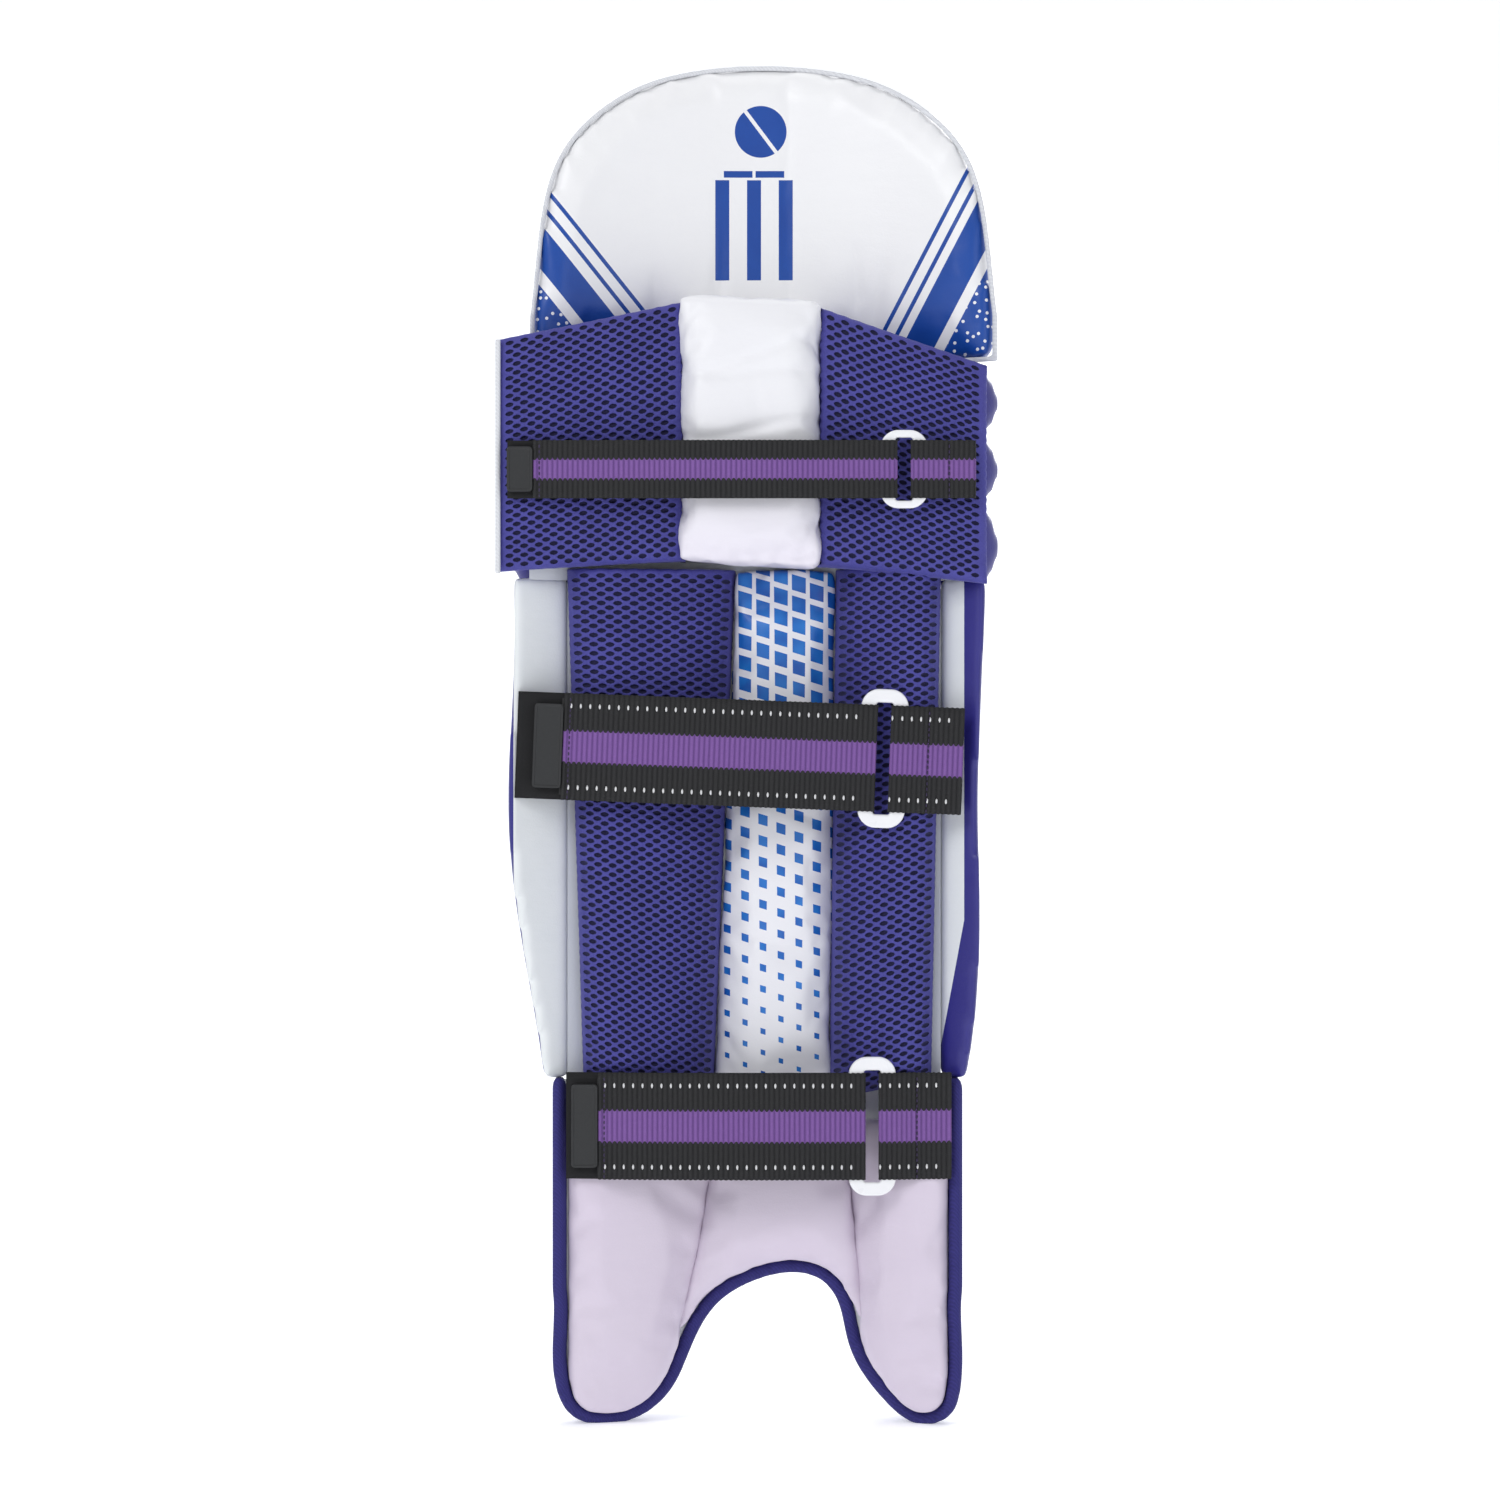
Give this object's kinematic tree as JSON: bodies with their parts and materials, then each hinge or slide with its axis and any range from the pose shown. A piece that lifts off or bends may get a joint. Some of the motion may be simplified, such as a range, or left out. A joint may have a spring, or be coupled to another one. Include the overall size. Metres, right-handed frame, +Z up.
{
  "type": "cricket batting leg pad",
  "caption": "Batting leg pad with cane-roll shin, knee rolls, hinged top hat, leg-side cushions, instep arch and hook-and-loop straps that pass through plastic rings.",
  "frame": {"origin": "middle of the bottom of the bounding box, between the foot lobes", "axes": "+Z up the leg from the foot lobes to the top hat, +Y out of the playing face, so the leg and the straps are on the -Y side, +X to the right when seen from the leg side"},
  "size_m": [0.2996, 0.11, 0.8117],
  "materials": {
    "air_mesh": "knitted spacer mesh, matt",
    "white_cover": "polyurethane-coated cloth, satin",
    "printed_cover": "polyurethane-coated cloth with a printed pattern, satin",
    "instep_cover": "polyurethane-coated cloth, satin",
    "side_lining": "polyurethane-coated cloth, satin",
    "front_cover": "polyurethane-coated cloth, satin",
    "binding": "folded binding tape, matt",
    "board": "dense closed-cell foam board, matt",
    "canvas": "plain woven cotton, matt",
    "foam": "soft foam and wadding, matt",
    "cane": "peeled cane, satin",
    "ring_plastic": "moulded plastic, semi-gloss",
    "tab_rubber": "moulded rubbery plastic, satin",
    "hook_tape": "hook tape, matt",
    "loop_webbing": "brushed loop tape, matt",
    "ribbed_webbing": "ribbed woven webbing with a purple middle band, matt"
  },
  "bodies": {
    "shin_guard": {"back_lining": "side_lining", "backing_canvas": "canvas", "cane_rods": "cane", "centre_roll": "printed_cover", "foot_binding": "binding", "instep_pad_centre": "instep_cover", "instep_pad_left": "instep_cover", "instep_pad_right": "instep_cover", "knee_bolster_centre": "white_cover", "knee_bolster_foams": "foam", "knee_bolster_left": "air_mesh", "knee_bolster_piping": "white_cover", "knee_bolster_right": "air_mesh", "knee_roll_foam": "foam", "knee_roll_lower": "front_cover", "knee_roll_middle": "front_cover", "knee_roll_upper": "front_cover", "knee_strap_base": "loop_webbing", "lower_calf_strap_base": "loop_webbing", "roll_wadding": "foam", "shin_board": "board", "shin_bolster_left": "air_mesh", "shin_bolster_right": "air_mesh", "shin_cushion_foams": "foam", "shin_roll_1": "front_cover", "shin_roll_2": "front_cover", "shin_roll_3": "front_cover", "shin_roll_4": "front_cover", "shin_roll_5": "front_cover", "shin_roll_6": "front_cover", "shin_roll_7": "front_cover", "upper_calf_strap_base": "loop_webbing", "wing_foams": "foam", "wing_left": "side_lining", "wing_right": "side_lining"},
    "top_hat": {"top_hat_face": "front_cover", "top_hat_foam": "foam", "top_hat_lining": "white_cover", "top_hat_piping": "binding"},
    "knee_anchor": {"knee_strap_anchor": "ribbed_webbing", "knee_strap_ring": "ring_plastic"},
    "knee_tongue": {"knee_strap_tongue": "ribbed_webbing", "knee_strap_hook_patch": "hook_tape", "knee_strap_pull_tab": "tab_rubber"},
    "upper_calf_anchor": {"upper_calf_strap_anchor": "ribbed_webbing", "upper_calf_strap_ring": "ring_plastic"},
    "upper_calf_tongue": {"upper_calf_strap_tongue": "ribbed_webbing", "upper_calf_strap_hook_patch": "hook_tape", "upper_calf_strap_pull_tab": "tab_rubber"},
    "lower_calf_anchor": {"lower_calf_strap_anchor": "ribbed_webbing", "lower_calf_strap_ring": "ring_plastic"},
    "lower_calf_tongue": {"lower_calf_strap_tongue": "ribbed_webbing", "lower_calf_strap_hook_patch": "hook_tape", "lower_calf_strap_pull_tab": "tab_rubber"}
  },
  "joints": [
    {"name": "knee_flex", "type": "hinge", "parent": "shin_guard", "child": "top_hat", "pos_m": [0.0028, 0.02462, 0.62918], "axis": [-1, 0, 0], "range_deg": [0, 15], "stiffness_Nm_per_rad": 1.5},
    {"name": "knee_anchor_swing", "type": "hinge", "parent": "shin_guard", "child": "knee_anchor", "pos_m": [0.13291, -0.05013, 0.56568], "axis": [0, 0, 1], "range_deg": [0, 35]},
    {"name": "knee_tongue_peel", "type": "hinge", "parent": "knee_anchor", "child": "knee_tongue", "pos_m": [0.08437, -0.0515, 0.56568], "axis": [0, 0, 1], "range_deg": [0, 110]},
    {"name": "upper_calf_anchor_swing", "type": "hinge", "parent": "shin_guard", "child": "upper_calf_anchor", "pos_m": [0.12594, -0.03231, 0.39395], "axis": [0.0384, 0, 0.9993], "range_deg": [0, 35]},
    {"name": "upper_calf_tongue_peel", "type": "hinge", "parent": "upper_calf_anchor", "child": "upper_calf_tongue", "pos_m": [0.07241, -0.03567, 0.39601], "axis": [0.0384, 0, 0.9993], "range_deg": [0, 110]},
    {"name": "lower_calf_anchor_swing", "type": "hinge", "parent": "shin_guard", "child": "lower_calf_anchor", "pos_m": [0.11931, -0.02681, 0.17869], "axis": [0, 0, 1], "range_deg": [0, 35]},
    {"name": "lower_calf_tongue_peel", "type": "hinge", "parent": "lower_calf_anchor", "child": "lower_calf_tongue", "pos_m": [0.06608, -0.03367, 0.17869], "axis": [0, 0, 1], "range_deg": [0, 110]}
  ]
}
